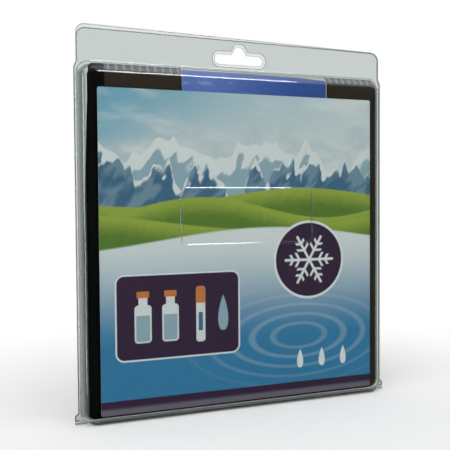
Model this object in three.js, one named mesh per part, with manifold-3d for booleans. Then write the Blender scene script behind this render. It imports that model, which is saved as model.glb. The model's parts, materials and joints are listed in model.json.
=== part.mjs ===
// Insulin cooling case: a folded evaporative wallet in a clear hinged hang pack, with its card and leaflet.
// Millimetres, +Z up, the front faces -Y, and the part stands on the foot of its front shell.
import * as THREE from "three";
import { mergeVertices } from "three/addons/utils/BufferGeometryUtils.js";
import Module from "manifold-3d";

const wasm = await Module();
wasm.setup();

// Clear formed sheet
const SHEET = 0.5;
const PARTING_GAP = 0.3; // between the two flanges when the pack is shut
const FIT = 0.3; // beside a piece that turns or is cut round its neighbour
const CORNER = 6.5; // upright corners of the dome
const EDGE_ROUND = 3; // from the dome's walls into its face
const FOOT_ROUND = 2; // the same at the foot, which keeps more of it flat
const SIDE_DRAFT = 2.9; // lean of each wall over the dome's depth
const TOP_DRAFT = 4.3;
const FLANGE_LIP = 0.7; // flange past the dome's base
const EAR_REACH = 2.4; // ends of the hinge past the dome's base
const EAR_HEIGHT = 2.8;

// Header with its hang slot
const HEADER_HEIGHT = 14.7;
const HEADER_STEP = 0.6; // header narrower than the dome's base, each side
const HEADER_CORNER = 4.8;
const HEADER_FALL = 1.6; // front header higher at its left end
const LIP_LEFT = 2.3; // rear header above the front one, so that a finger parts them
const LIP_RIGHT = 0.5;
const SLOT_WIDTH = 32;
const SLOT_HEIGHT = 8.6;
const SLOT_FLOOR = 0.7; // slot above the dome's base
const HUMP_RISE = 4.3;
const HUMP_BASE = 10;
const HUMP_TOP = 5;
const HUMP_ROUND = 0.2; // share of the hump's rise in its round top
const REAR_SLOT_INSET = 1.6; // rear slot lower than the front one, above and below

// Closing ridge of the lid, which plugs into the dome
const RIDGE_WIDTH = 2.2;
const RIDGE_RISE = 2.2;
const RIDGE_FIT = 0.4;

// Plain raised frame on the dome's face
const FRAME_WIDTH = 80;
const FRAME_HEIGHT = 32;
const FRAME_SHIFT = 2.5;
const FRAME_MIDDLE = 107;
const FRAME_CORNER = 5;
const FRAME_RIB = 1.2;
const FRAME_RISE = 0.3;

// Folded wallet, dry and flat as it is packed
const WALLET_WIDTH = 171.8;
const WALLET_HEIGHT = 178.8;
const WALLET_CORNER = 5;
const WALLET_CLEARANCE = 0.8; // to the lid's ridge at the sides and the foot
const HEAD_ROOM = 0.4; // between the wallet and the lid's ridge above it
const COVER_CLOTH = 0.5;
const GUSSET_WIDTH = 2.4;
const CLOTH_GAP = 0.1; // between layers that lie on each other
const FLAP_CLOTH = 0.4;
const FLAP_LENGTH = 60;
const FLAP_INSET = 1.2;
const FLAP_CORNER = 8;
const FLAP_CLEARANCE = 0.15; // between the two halves of the closing tape
const TAPE = 0.25;
const TAPE_WIDTH = 120;
const TAPE_HEIGHT = 16;
const TAPE_MARGIN = 5; // above the flap's lower edge
const LABEL_CLOTH = 0.15;
const LABEL_WIDTH = 42;
const LABEL_HEIGHT = 16;
const LABEL_MARGIN = 12;
const LID_CLEARANCE = 0.25; // between the wallet and the lid

// Cooling pouch inside the wallet
const PLY_CLOTH = 0.25;
const GEL_FILL = 0.4; // dry crystals
const POCKET = 0.3; // flat pocket for the medicine
const POUCH_CLEARANCE = 0.5;
const POUCH_DROP = 10; // mouth of the pouch below the wallet's top
const BINDING_WIDTH = 2;
const GEL_ROWS = 5;
const GEL_MARGIN = 3; // sewn border round each row
const GEL_CORNER = 4;

// Print
const CARD_THICKNESS = 0.35;
const CARD_SIDE_PLAY = 4.2;
const CARD_TOP_PLAY = 7.2;
const CARD_FOOT_PLAY = 2.6;
const CARD_CORNER = 1;
const LEAFLET_THICKNESS = 0.5;
const LEAFLET_WIDTH = 87;
const LEAFLET_HEIGHT = 120;
const LEAFLET_SHIFT = 8.3;
const LEAFLET_RISE = 1.8; // above the dome's flat face
const PRINT_GAP = 0.15;

const ARC_STEPS = 4; // half the straight pieces in a quarter round
const HINGE_SIDES = 10;

// Layers from the lid forward to the face of the dome: each call takes the next place in the stack
const lidFace = PARTING_GAP / 2;
let level = lidFace;
function layer(thickness, gap) {
  const back = level - gap;
  level = back - thickness;
  return { back, front: level };
}
const labelLayer = layer(LABEL_CLOTH, LID_CLEARANCE);
const flapLayer = layer(FLAP_CLOTH, CLOTH_GAP);
const hookLayer = layer(TAPE, CLOTH_GAP);
const loopLayer = layer(TAPE, FLAP_CLEARANCE);
const coverBack = layer(COVER_CLOTH, CLOTH_GAP);
const backOuterPly = layer(PLY_CLOTH, CLOTH_GAP);
const backGel = layer(GEL_FILL, CLOTH_GAP);
const backInnerPly = layer(PLY_CLOTH, CLOTH_GAP);
const frontInnerPly = layer(PLY_CLOTH, POCKET);
const frontGel = layer(GEL_FILL, CLOTH_GAP);
const frontOuterPly = layer(PLY_CLOTH, CLOTH_GAP);
const coverFront = layer(COVER_CLOTH, CLOTH_GAP);
const leafletLayer = layer(LEAFLET_THICKNESS, PRINT_GAP);
const cardLayer = layer(CARD_THICKNESS, PRINT_GAP);
const domeDepth = SHEET + PRINT_GAP - level;

// Outlines of the pack, from the wallet outwards
const hingeRadius = PARTING_GAP / 2 + SHEET;
const hingeTop = 2 * hingeRadius;
const lidFoot = hingeTop + FIT;
const ridgeFoot = lidFoot + RIDGE_FIT;
const ridgeDepth = RIDGE_RISE - lidFace;
const ridgeRoom = RIDGE_WIDTH + RIDGE_FIT + SHEET;
const walletFoot = ridgeFoot + RIDGE_WIDTH + WALLET_CLEARANCE;
const walletTop = walletFoot + WALLET_HEIGHT;
const walletRight = WALLET_WIDTH / 2;
const walletLeft = -walletRight;
const walletReach = walletRight + WALLET_CLEARANCE;
const domeHalf = walletReach + ridgeRoom + (SIDE_DRAFT * ridgeDepth) / domeDepth;
const domeTop = walletTop + HEAD_ROOM + ridgeRoom + (TOP_DRAFT * ridgeDepth) / domeDepth;
const flangeHalf = domeHalf + FLANGE_LIP;
const earHalf = domeHalf + EAR_REACH;
const headerHalf = domeHalf - HEADER_STEP;
const packTop = domeTop + HEADER_HEIGHT;
const faceHalf = domeHalf - SIDE_DRAFT - EDGE_ROUND;
const faceTop = domeTop - TOP_DRAFT - EDGE_ROUND;
const flangeFront = -PARTING_GAP / 2 - SHEET;
const lidBack = lidFace + SHEET;
const beyond = SHEET + PARTING_GAP; // how far a cut runs past the faces that it opens

const clearSheet = new THREE.MeshStandardMaterial({
  color: 0xdfe6e5,
  roughness: 0.08,
  transparent: true,
  opacity: 0.3,
});
const printedCard = new THREE.MeshStandardMaterial({ color: 0x6fa3c8, roughness: 0.45 });
const printedPaper = new THREE.MeshStandardMaterial({ color: 0x2b4f9c, roughness: 0.5 });
const coverCloth = new THREE.MeshStandardMaterial({ color: 0x17171b, roughness: 0.9 });
const pouchCloth = new THREE.MeshStandardMaterial({ color: 0x22252b, roughness: 0.9 });
const bindingCloth = new THREE.MeshStandardMaterial({ color: 0x101013, roughness: 0.85 });
const closingTape = new THREE.MeshStandardMaterial({ color: 0x1d1d20, roughness: 0.95 });
const labelCloth = new THREE.MeshStandardMaterial({ color: 0xe9e9e4, roughness: 0.8 });
const gelCrystal = new THREE.MeshStandardMaterial({ color: 0xeef0ea, roughness: 0.6 });

const pack = new THREE.Group();

function piece(name, geometry, material) {
  const mesh = new THREE.Mesh(geometry, material);
  mesh.name = name;
  pack.add(mesh);
}

// A closed solid for joining and cutting
function solid(geometry) {
  const bare = geometry.clone();
  bare.deleteAttribute("normal");
  bare.deleteAttribute("uv");
  const merged = mergeVertices(bare);
  return new wasm.Manifold(
    new wasm.Mesh({
      numProp: 3,
      vertProperties: Float32Array.from(merged.attributes.position.array),
      triVerts: Uint32Array.from(merged.index.array),
    }),
  );
}

function geometryOf(body) {
  const mesh = body.getMesh();
  const geometry = new THREE.BufferGeometry();
  geometry.setAttribute("position", new THREE.BufferAttribute(mesh.vertProperties, 3));
  geometry.setIndex(new THREE.BufferAttribute(mesh.triVerts, 1));
  geometry.computeVertexNormals();
  return geometry;
}

// A flat piece: an outline in X and Z, filled between two places along Y
function slab(shape, back, front) {
  const geometry = new THREE.ExtrudeGeometry(shape, {
    depth: back - front,
    bevelEnabled: false,
    curveSegments: ARC_STEPS,
  });
  geometry.rotateX(Math.PI / 2);
  geometry.translate(0, back, 0);
  return geometry;
}

function box(left, right, back, front, bottom, top) {
  const geometry = new THREE.BoxGeometry(right - left, back - front, top - bottom);
  geometry.translate((left + right) / 2, (back + front) / 2, (bottom + top) / 2);
  return geometry;
}

function roundedRect(left, right, bottom, top, radius) {
  const shape = new THREE.Shape();
  shape.absarc(right - radius, bottom + radius, radius, -Math.PI / 2, 0);
  shape.absarc(right - radius, top - radius, radius, 0, Math.PI / 2);
  shape.absarc(left + radius, top - radius, radius, Math.PI / 2, Math.PI);
  shape.absarc(left + radius, bottom + radius, radius, Math.PI, 1.5 * Math.PI);
  shape.closePath();
  return shape;
}

// A solid through rings of equally many points, each ring an outline at one place along Y
function loft(rings) {
  const outlines = rings.map((ring) => ring.shape.extractPoints(ARC_STEPS).shape);
  const count = outlines[0].length;
  const positions = [];
  outlines.forEach((outline, i) => outline.forEach((point) => positions.push(point.x, rings[i].y, point.y)));
  const index = [];
  for (let i = 0; i + 1 < rings.length; i++) {
    for (let k = 0; k < count; k++) {
      const a = i * count + k;
      const b = i * count + ((k + 1) % count);
      index.push(a, b, b + count, a, b + count, a + count);
    }
  }
  const cap = THREE.ShapeUtils.triangulateShape(outlines[0], []);
  const last = (rings.length - 1) * count;
  cap.forEach(([a, b, c]) => index.push(c, b, a));
  cap.forEach(([a, b, c]) => index.push(last + a, last + b, last + c));
  const geometry = new THREE.BufferGeometry();
  geometry.setAttribute("position", new THREE.Float32BufferAttribute(positions, 3));
  geometry.setIndex(index);
  return geometry;
}

// The dome's skin moved inwards by wall: leaning walls, then a quarter round into the face
function domeForm(wall, start) {
  const depth = domeDepth - wall;
  const round = EDGE_ROUND - wall;
  const footRound = FOOT_ROUND - wall;
  const curve = (reach, radius) => {
    const along = Math.min(Math.max(reach - depth + radius, 0), radius);
    return radius - Math.sqrt(radius * radius - along * along);
  };
  const ring = (reach) => {
    const lean = Math.max(reach, 0) / domeDepth;
    const side = domeHalf - wall - SIDE_DRAFT * lean - curve(reach, round);
    const top = domeTop - wall - TOP_DRAFT * lean - curve(reach, round);
    return { y: -reach, shape: roundedRect(-side, side, wall + curve(reach, footRound), top, CORNER) };
  };
  const reaches = [start, depth - round, depth - footRound];
  for (let step = 1; step <= ARC_STEPS; step++) {
    reaches.push(depth - round * (1 - Math.sin((step / ARC_STEPS) * (Math.PI / 2))));
  }
  reaches.sort((a, b) => a - b);
  return loft(reaches.map(ring));
}

// Header sheet: rounded top corners, and a top edge that may fall from left to right
function headerShape(leftTop, rightTop) {
  const fall = (leftTop - rightTop) / (2 * headerHalf);
  const inner = headerHalf - HEADER_CORNER;
  const shape = new THREE.Shape();
  shape.moveTo(-headerHalf, domeTop - CORNER);
  shape.lineTo(headerHalf, domeTop - CORNER);
  shape.lineTo(headerHalf, rightTop - HEADER_CORNER);
  shape.quadraticCurveTo(headerHalf, rightTop, inner, rightTop + fall * HEADER_CORNER);
  shape.lineTo(-inner, leftTop - fall * HEADER_CORNER);
  shape.quadraticCurveTo(-headerHalf, leftTop, -headerHalf, leftTop - HEADER_CORNER);
  shape.closePath();
  return shape;
}

// Hang slot with round ends and a hump that centres the peg
function slotShape(inset) {
  const bottom = domeTop + SLOT_FLOOR + inset;
  const top = domeTop + SLOT_FLOOR + SLOT_HEIGHT - inset;
  const end = (top - bottom) / 2;
  const straight = SLOT_WIDTH / 2 - end;
  const shape = new THREE.Shape();
  shape.moveTo(-straight, bottom);
  shape.lineTo(straight, bottom);
  shape.absarc(straight, bottom + end, end, -Math.PI / 2, Math.PI / 2);
  shape.lineTo(HUMP_BASE / 2, top);
  shape.lineTo(HUMP_TOP / 2, top + HUMP_RISE * (1 - HUMP_ROUND));
  shape.quadraticCurveTo(
    0, top + HUMP_RISE * (1 + HUMP_ROUND), -HUMP_TOP / 2, top + HUMP_RISE * (1 - HUMP_ROUND),
  );
  shape.lineTo(-HUMP_BASE / 2, top);
  shape.lineTo(-straight, top);
  shape.absarc(-straight, bottom + end, end, Math.PI / 2, 1.5 * Math.PI);
  shape.closePath();
  return shape;
}

// A sheet with its header, the flange round the dome and the ears at the hinge
function flangeSheet(header, slot, back, front) {
  const flange = roundedRect(-flangeHalf, flangeHalf, lidFoot, domeTop + FLANGE_LIP, CORNER);
  return solid(slab(flange, back, front))
    .add(solid(slab(header, back, front)))
    .add(solid(box(-earHalf, earHalf, back, front, lidFoot, lidFoot + EAR_HEIGHT)))
    .subtract(solid(slab(slot, back + beyond, front - beyond)));
}

// Band of even width that follows a rounded rectangle
function band(left, right, bottom, top, radius, width, back, front) {
  const outer = roundedRect(left, right, bottom, top, radius);
  const innerRadius = Math.max(radius - width, FIT);
  const inner = roundedRect(left + width, right - width, bottom + width, top - width, innerRadius);
  return solid(slab(outer, back, front)).subtract(solid(slab(inner, back + beyond, front - beyond)));
}

// Front shell: dome, flange, header and a plain raised frame on the face
const frameLeft = FRAME_SHIFT - FRAME_WIDTH / 2;
const frameRight = FRAME_SHIFT + FRAME_WIDTH / 2;
const frameBottom = FRAME_MIDDLE - FRAME_HEIGHT / 2;
const frameTop = FRAME_MIDDLE + FRAME_HEIGHT / 2;
const frameBack = SHEET / 2 - domeDepth;
const frameFront = -domeDepth - FRAME_RISE;
const raisedFrame = band(
  frameLeft, frameRight, frameBottom, frameTop, FRAME_CORNER, FRAME_RIB, frameBack, frameFront,
);
const hingeRoom = box(-2 * earHalf, 2 * earHalf, beyond, -hingeRadius - FIT, -beyond, lidFoot);
const frontHeader = headerShape(packTop + HEADER_FALL, packTop);
const frontShell = flangeSheet(frontHeader, slotShape(0), -PARTING_GAP / 2, flangeFront)
  .add(solid(domeForm(0, PARTING_GAP / 2 + SHEET / 2)))
  .add(raisedFrame)
  .subtract(solid(domeForm(SHEET, -beyond)))
  .subtract(solid(hingeRoom));
piece("front_shell", geometryOf(frontShell), clearSheet);

// Rear shell: flat lid with a formed ridge that is hollow from behind
const ridgeLean = ridgeDepth / domeDepth;
const ridgeHalf = domeHalf - SHEET - RIDGE_FIT - SIDE_DRAFT * ridgeLean;
const ridgeTop = domeTop - SHEET - RIDGE_FIT - TOP_DRAFT * ridgeLean;
const ridgeBand = (inset, width, back, front) => {
  const half = ridgeHalf - inset;
  return band(-half, half, ridgeFoot + inset, ridgeTop - inset, CORNER - inset, width, back, front);
};
const rearHeader = headerShape(packTop + HEADER_FALL + LIP_LEFT, packTop + LIP_RIGHT);
const rearShell = flangeSheet(rearHeader, slotShape(REAR_SLOT_INSET), lidBack, lidFace)
  .add(ridgeBand(0, RIDGE_WIDTH, lidFace + SHEET / 2, -ridgeDepth))
  .subtract(ridgeBand(SHEET, RIDGE_WIDTH - 2 * SHEET, lidBack + beyond, SHEET - ridgeDepth));
piece("rear_shell", geometryOf(rearShell), clearSheet);

// Folded bead of the living hinge, along the foot between the two shells
const hingeBead = new THREE.CylinderGeometry(hingeRadius, hingeRadius, 2 * earHalf, HINGE_SIDES);
hingeBead.rotateZ(Math.PI / 2);
hingeBead.translate(0, 0, hingeRadius);
piece("hinge_web", hingeBead, clearSheet);

// Printed card behind the face, and the folded leaflet that stands above it
const cardHalf = faceHalf - CARD_SIDE_PLAY;
const cardFoot = FOOT_ROUND + CARD_FOOT_PLAY;
const cardTop = faceTop - CARD_TOP_PLAY;
const cardShape = roundedRect(-cardHalf, cardHalf, cardFoot, cardTop, CARD_CORNER);
piece("front_card", slab(cardShape, cardLayer.back, cardLayer.front), printedCard);

const leafletTop = faceTop + LEAFLET_RISE;
const leafletFoot = leafletTop - LEAFLET_HEIGHT;
const leafletLeft = LEAFLET_SHIFT - LEAFLET_WIDTH / 2;
const leafletRight = LEAFLET_SHIFT + LEAFLET_WIDTH / 2;
piece(
  "instruction_leaflet",
  box(leafletLeft, leafletRight, leafletLayer.back, leafletLayer.front, leafletFoot, leafletTop),
  printedPaper,
);

// Outer cover of the wallet: two panels, gussets between them, and a fold over the mouth
const foldFoot = walletTop - COVER_CLOTH;
const panelShape = roundedRect(walletLeft, walletRight, walletFoot, foldFoot - CLOTH_GAP, WALLET_CORNER);
piece("cover_front_panel", slab(panelShape, coverFront.back, coverFront.front), coverCloth);
piece("cover_back_panel", slab(panelShape, coverBack.back, coverBack.front), coverCloth);
const foldBack = flapLayer.front - FIT;
const edgeLeft = walletLeft + WALLET_CORNER;
const edgeRight = walletRight - WALLET_CORNER;
piece(
  "cover_mouth_fold",
  box(edgeLeft, edgeRight, foldBack, coverFront.front, foldFoot, walletTop),
  coverCloth,
);

const gussetBack = coverBack.front - CLOTH_GAP;
const gussetFront = coverFront.back + CLOTH_GAP;
const gussetFoot = walletFoot + WALLET_CORNER;
const gussetTop = foldFoot - CLOTH_GAP - WALLET_CORNER;
const gussets = [
  ["cover_gusset_left", walletLeft, walletLeft + GUSSET_WIDTH, gussetFoot, gussetTop],
  ["cover_gusset_right", walletRight - GUSSET_WIDTH, walletRight, gussetFoot, gussetTop],
  ["cover_gusset_bottom", edgeLeft, edgeRight, walletFoot, walletFoot + GUSSET_WIDTH],
];
for (const [name, left, right, bottom, top] of gussets) {
  piece(name, box(left, right, gussetBack, gussetFront, bottom, top), bindingCloth);
}

// Flap that hangs behind the wallet from the fold, held by hook and loop tape
const flapAxis = foldFoot;
const flapTop = flapAxis - FIT;
const flapFoot = flapTop - FLAP_LENGTH;
const flapShape = new THREE.Shape();
const flapLeft = walletLeft + FLAP_INSET;
const flapRight = walletRight - FLAP_INSET;
flapShape.moveTo(flapRight, flapTop);
flapShape.lineTo(flapLeft, flapTop);
flapShape.absarc(flapLeft + FLAP_CORNER, flapFoot + FLAP_CORNER, FLAP_CORNER, Math.PI, 1.5 * Math.PI);
flapShape.absarc(flapRight - FLAP_CORNER, flapFoot + FLAP_CORNER, FLAP_CORNER, 1.5 * Math.PI, 2 * Math.PI);
flapShape.closePath();
piece("cover_flap", slab(flapShape, flapLayer.back, flapLayer.front), coverCloth);

const tapeHalf = TAPE_WIDTH / 2;
const tapeFoot = flapFoot + TAPE_MARGIN;
const tape = (place) => box(-tapeHalf, tapeHalf, place.back, place.front, tapeFoot, tapeFoot + TAPE_HEIGHT);
piece("flap_hook_tape", tape(hookLayer), closingTape);
piece("cover_loop_tape", tape(loopLayer), closingTape);

const labelHalf = LABEL_WIDTH / 2;
const labelFoot = flapFoot + LABEL_MARGIN;
piece(
  "flap_label",
  box(-labelHalf, labelHalf, labelLayer.back, labelLayer.front, labelFoot, labelFoot + LABEL_HEIGHT),
  labelCloth,
);

// Cooling pouch: four plies, a bound edge on three sides, and rows of dry crystals between the plies
const pouchLeft = walletLeft + GUSSET_WIDTH + POUCH_CLEARANCE;
const pouchRight = walletRight - GUSSET_WIDTH - POUCH_CLEARANCE;
const pouchFoot = walletFoot + GUSSET_WIDTH + POUCH_CLEARANCE;
const pouchTop = walletTop - POUCH_DROP;
const plyLeft = pouchLeft + BINDING_WIDTH + CLOTH_GAP;
const plyRight = pouchRight - BINDING_WIDTH - CLOTH_GAP;
const plyFoot = pouchFoot + BINDING_WIDTH + CLOTH_GAP;
const plies = {
  pouch_front_outer_ply: frontOuterPly,
  pouch_front_inner_ply: frontInnerPly,
  pouch_back_inner_ply: backInnerPly,
  pouch_back_outer_ply: backOuterPly,
};
for (const [name, place] of Object.entries(plies)) {
  piece(name, box(plyLeft, plyRight, place.back, place.front, plyFoot, pouchTop), pouchCloth);
}

const bindings = [
  ["pouch_binding_left", pouchLeft, pouchLeft + BINDING_WIDTH, pouchFoot, pouchTop],
  ["pouch_binding_right", pouchRight - BINDING_WIDTH, pouchRight, pouchFoot, pouchTop],
  ["pouch_binding_bottom", plyLeft, plyRight, pouchFoot, pouchFoot + BINDING_WIDTH],
];
for (const [name, left, right, bottom, top] of bindings) {
  piece(name, box(left, right, backOuterPly.back, frontOuterPly.front, bottom, top), bindingCloth);
}

const rowPitch = (pouchTop - plyFoot) / GEL_ROWS;
for (let row = 0; row < GEL_ROWS; row++) {
  const bottom = plyFoot + row * rowPitch + GEL_MARGIN;
  const top = plyFoot + (row + 1) * rowPitch - GEL_MARGIN;
  const rowShape = roundedRect(plyLeft + GEL_MARGIN, plyRight - GEL_MARGIN, bottom, top, GEL_CORNER);
  piece(`front_gel_row_${row + 1}`, slab(rowShape, frontGel.back, frontGel.front), gelCrystal);
  piece(`back_gel_row_${row + 1}`, slab(rowShape, backGel.back, backGel.front), gelCrystal);
}

// The origin lies under the middle of the pack's depth
pack.position.y = (domeDepth + FRAME_RISE - lidBack) / 2;

export default pack;
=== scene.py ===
"""Dressed model of a cloth cooling case for insulin, in its clear hinged hang pack."""
import json
import math
import random

import bmesh
import bpy
from bmesh.types import BMEdge, BMFace, BMVert
from bpy.props import FloatProperty, FloatVectorProperty, IntProperty, PointerProperty
from mathutils import Matrix, Vector, noise


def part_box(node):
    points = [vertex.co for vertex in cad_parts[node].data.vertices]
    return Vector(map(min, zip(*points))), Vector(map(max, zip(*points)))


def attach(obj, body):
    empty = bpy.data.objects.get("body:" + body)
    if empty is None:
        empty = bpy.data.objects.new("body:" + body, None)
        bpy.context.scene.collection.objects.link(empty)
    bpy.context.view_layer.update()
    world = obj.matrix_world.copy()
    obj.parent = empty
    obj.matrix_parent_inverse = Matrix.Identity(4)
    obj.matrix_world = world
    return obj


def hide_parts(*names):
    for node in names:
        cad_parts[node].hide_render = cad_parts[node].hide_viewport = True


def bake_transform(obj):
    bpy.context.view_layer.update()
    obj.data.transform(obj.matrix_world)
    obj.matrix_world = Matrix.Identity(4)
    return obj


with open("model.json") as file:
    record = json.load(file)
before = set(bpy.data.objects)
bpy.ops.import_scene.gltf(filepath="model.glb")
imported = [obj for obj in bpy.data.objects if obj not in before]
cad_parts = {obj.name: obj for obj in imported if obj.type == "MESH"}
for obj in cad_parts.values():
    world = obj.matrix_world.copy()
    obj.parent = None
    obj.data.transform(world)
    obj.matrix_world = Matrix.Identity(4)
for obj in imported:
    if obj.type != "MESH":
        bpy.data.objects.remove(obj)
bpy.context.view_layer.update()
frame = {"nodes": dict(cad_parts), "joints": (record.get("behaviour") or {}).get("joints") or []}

bl_info = {
    "name": "Cooling case in a hang pack",
    "version": (1, 0, 0),
    "blender": (4, 5, 0),
    "location": "View3D > Sidebar > Hang Pack",
    "description": "Builds a cloth cooling case with its card, leaflet and clear pack",
    "category": "Object",
}

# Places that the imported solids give, in metres
FRONT_LOW, FRONT_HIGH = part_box("front_shell")
REAR_LOW, REAR_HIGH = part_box("rear_shell")
CARD_LOW, CARD_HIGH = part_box("front_card")
LEAFLET_LOW, LEAFLET_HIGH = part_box("instruction_leaflet")
COVER_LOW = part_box("cover_front_panel")[0]
COVER_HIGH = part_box("cover_back_panel")[1]
FOLD_LOW, FOLD_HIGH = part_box("cover_mouth_fold")
FLAP_LOW, FLAP_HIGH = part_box("cover_flap")
JOINTS = {joint["name"]: joint for joint in frame["joints"]}
PARTING = JOINTS["lid_hinge"]["pos_m"][1]
FLAP_AXIS = JOINTS["flap_hinge"]["pos_m"]
MM = 0.001
FORWARD = Vector((0.0, -1.0, 0.0))
WHITE = (1.0, 1.0, 1.0)

# Place in a shell's list of the darker finish that paints shade on cut edges, bends, the foot and the ridge
SHADE_FINISH = 1
# Shading angle in degrees at which no edge is sharp
SMOOTH = 180.0
# Rows of the dome's base fillet: steps back and out as shares of its size, and the finish; the middle row's
# darker finish paints a line of shade along the bend
FILLET_ROWS = ((0.62, 0.25, 0), (0.23, 0.25, SHADE_FINISH), (0.15, 0.60, 0))
# Rows of the raised frame's flank: shares of the rib's width and rise
FLANK_ROWS = ((0.20, 0.4), (0.11, 0.6))
# Wrinkles, puckers and slack of soft cloth: lumps to a metre
WRINKLES, PUCKERS, SLACK = 55.0, 260.0, 40.0
# Start of the random draws for the crystals
GRAIN_SEED = 23
# Section of the fold over the mouth: reach in front of the parting plane and height, in millimetres
FOLD_ROUTE = (
    (3.0, 185.2), (2.65, 184.7), (2.25, 184.1), (1.9, 183.8), (1.5, 183.72), (1.1, 183.68),
    (0.8, 183.55), (0.62, 183.3), ((PARTING - FLAP_AXIS[1]) / MM, 182.9),
)
# Bends of the leaflet's two leaves, how far down its top starts to curl, and the curl's steps back and up
LEAF_BENDS = (0.19 * MM, 0.07 * MM)
LEAF_TOP = 0.8 * MM
LEAF_CURL = ((0.35 * MM, 0.9 * MM), (0.75 * MM, 1.2 * MM), (1.0 * MM, 1.0 * MM), (0.65 * MM, 0.75 * MM))


def size(name, description, default):
    """A length that a user may change."""
    return FloatProperty(name=name, description=description, default=default, unit="LENGTH", precision=5)


def tint(name, description, default):
    """A colour that a user may change."""
    return FloatVectorProperty(
        name=name, description=description, default=default, size=3, min=0.0, max=1.0, subtype="COLOR"
    )


def power(name, description, default):
    """Power of a lamp that a user may change."""
    return FloatProperty(name=name, description=description, default=default, unit="POWER")


class ShellSizes(bpy.types.PropertyGroup):
    """Sizes of the two clear shells."""

    sheet: size("Sheet", "Thickness of the clear sheet", 0.5 * MM)
    gap: size("Parting gap", "Room between the two flanges", 0.3 * MM)
    dome_half: size("Dome half width", "Half of the dome's width at the parting plane", 90.64 * MM)
    dome_top: size("Dome top", "Height of the dome at the parting plane", 188.54 * MM)
    side_draft: size("Side draft", "Lean of each side wall over the dome's depth", 2.9 * MM)
    top_draft: size("Top draft", "Lean of the top wall over the dome's depth", 4.3 * MM)
    corner: size("Corner", "Radius of the dome's corners", 6.5 * MM)
    edge_round: size("Edge round", "Size of the round between face and walls", 3.0 * MM)
    foot_round: size("Foot round", "Size of the round between face and foot", 2.0 * MM)
    fillet: size("Base fillet", "Size of the bend between wall and flange", 0.6 * MM)
    lip: size("Flange half width", "Half of the flange's width", 91.34 * MM)
    header_half: size("Header half width", "Half of the header's width", 90.04 * MM)
    header_corner: size("Header corner", "Radius of the header's corners", 4.8 * MM)
    header_fall: size("Header fall", "How much lower the front header is at its right end", 1.6 * MM)
    rear_fall: size("Rear header fall", "How much lower the rear header is at its right end", 3.4 * MM)
    neck: size("Neck", "Height of the step from flange to header", 3.0 * MM)
    ear: size("Ear", "Height of the ears at the hinge", 2.8 * MM)
    slot_width: size("Slot width", "Width of the hang slot", 32.0 * MM)
    slot_height: size("Slot height", "Height of the hang slot beside its hump", 8.6 * MM)
    slot_floor: size("Slot floor", "Height of the hang slot's lower edge", 189.24 * MM)
    hump_rise: size("Hump rise", "Height of the slot's hump above the slot", 4.3 * MM)
    hump_base: size("Hump base", "Width of the hump where it starts", 10.0 * MM)
    hump_top: size("Hump top", "Width of the hump at its top", 5.0 * MM)
    rear_inset: size("Rear slot inset", "How much smaller the rear slot is on each side", 1.6 * MM)
    frame_shift: size("Frame shift", "Sideways place of the raised frame", 2.5 * MM)
    frame_middle: size("Frame height", "Height of the raised frame's middle", 107.0 * MM)
    frame_width: size("Frame width", "Width of the raised frame", 80.0 * MM)
    frame_height: size("Frame tallness", "Height of the raised frame", 32.0 * MM)
    frame_corner: size("Frame corner", "Radius of the raised frame's corners", 5.0 * MM)
    rib: size("Rib", "Width of the raised frame's rib", 1.6 * MM)
    rib_rise: size("Rib rise", "How far the rib stands proud", 0.3 * MM)
    ridge_half: size("Ridge half width", "Half of the lid ridge's width", 88.9 * MM)
    ridge_top: size("Ridge top", "Height of the lid ridge's upper side", 186.4 * MM)
    ridge_foot: size("Ridge foot", "Height of the lid ridge's lower side", 2.0 * MM)
    ridge: size("Ridge width", "Width of the lid's closing ridge", 2.2 * MM)
    ridge_corner: size("Ridge corner", "Radius of the lid ridge's corners", 5.5 * MM)
    ridge_flank: size("Ridge flank", "Width of the lid ridge's sloping side", 0.3 * MM)
    ridge_bend: size("Ridge bend", "Size of the rounds along the lid's ridge", 0.25 * MM)
    # Widths of the dark lines of painted shade along cut edges and round slots
    cut: size("Cut edge", "Width of the dark line along a cut edge", 0.45 * MM)
    punch: size("Punched edge", "Width of the dark line round a slot", 0.2 * MM)
    steps: IntProperty(name="Steps", description="Segments in a rounded corner", default=8, min=2, max=24)


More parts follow.
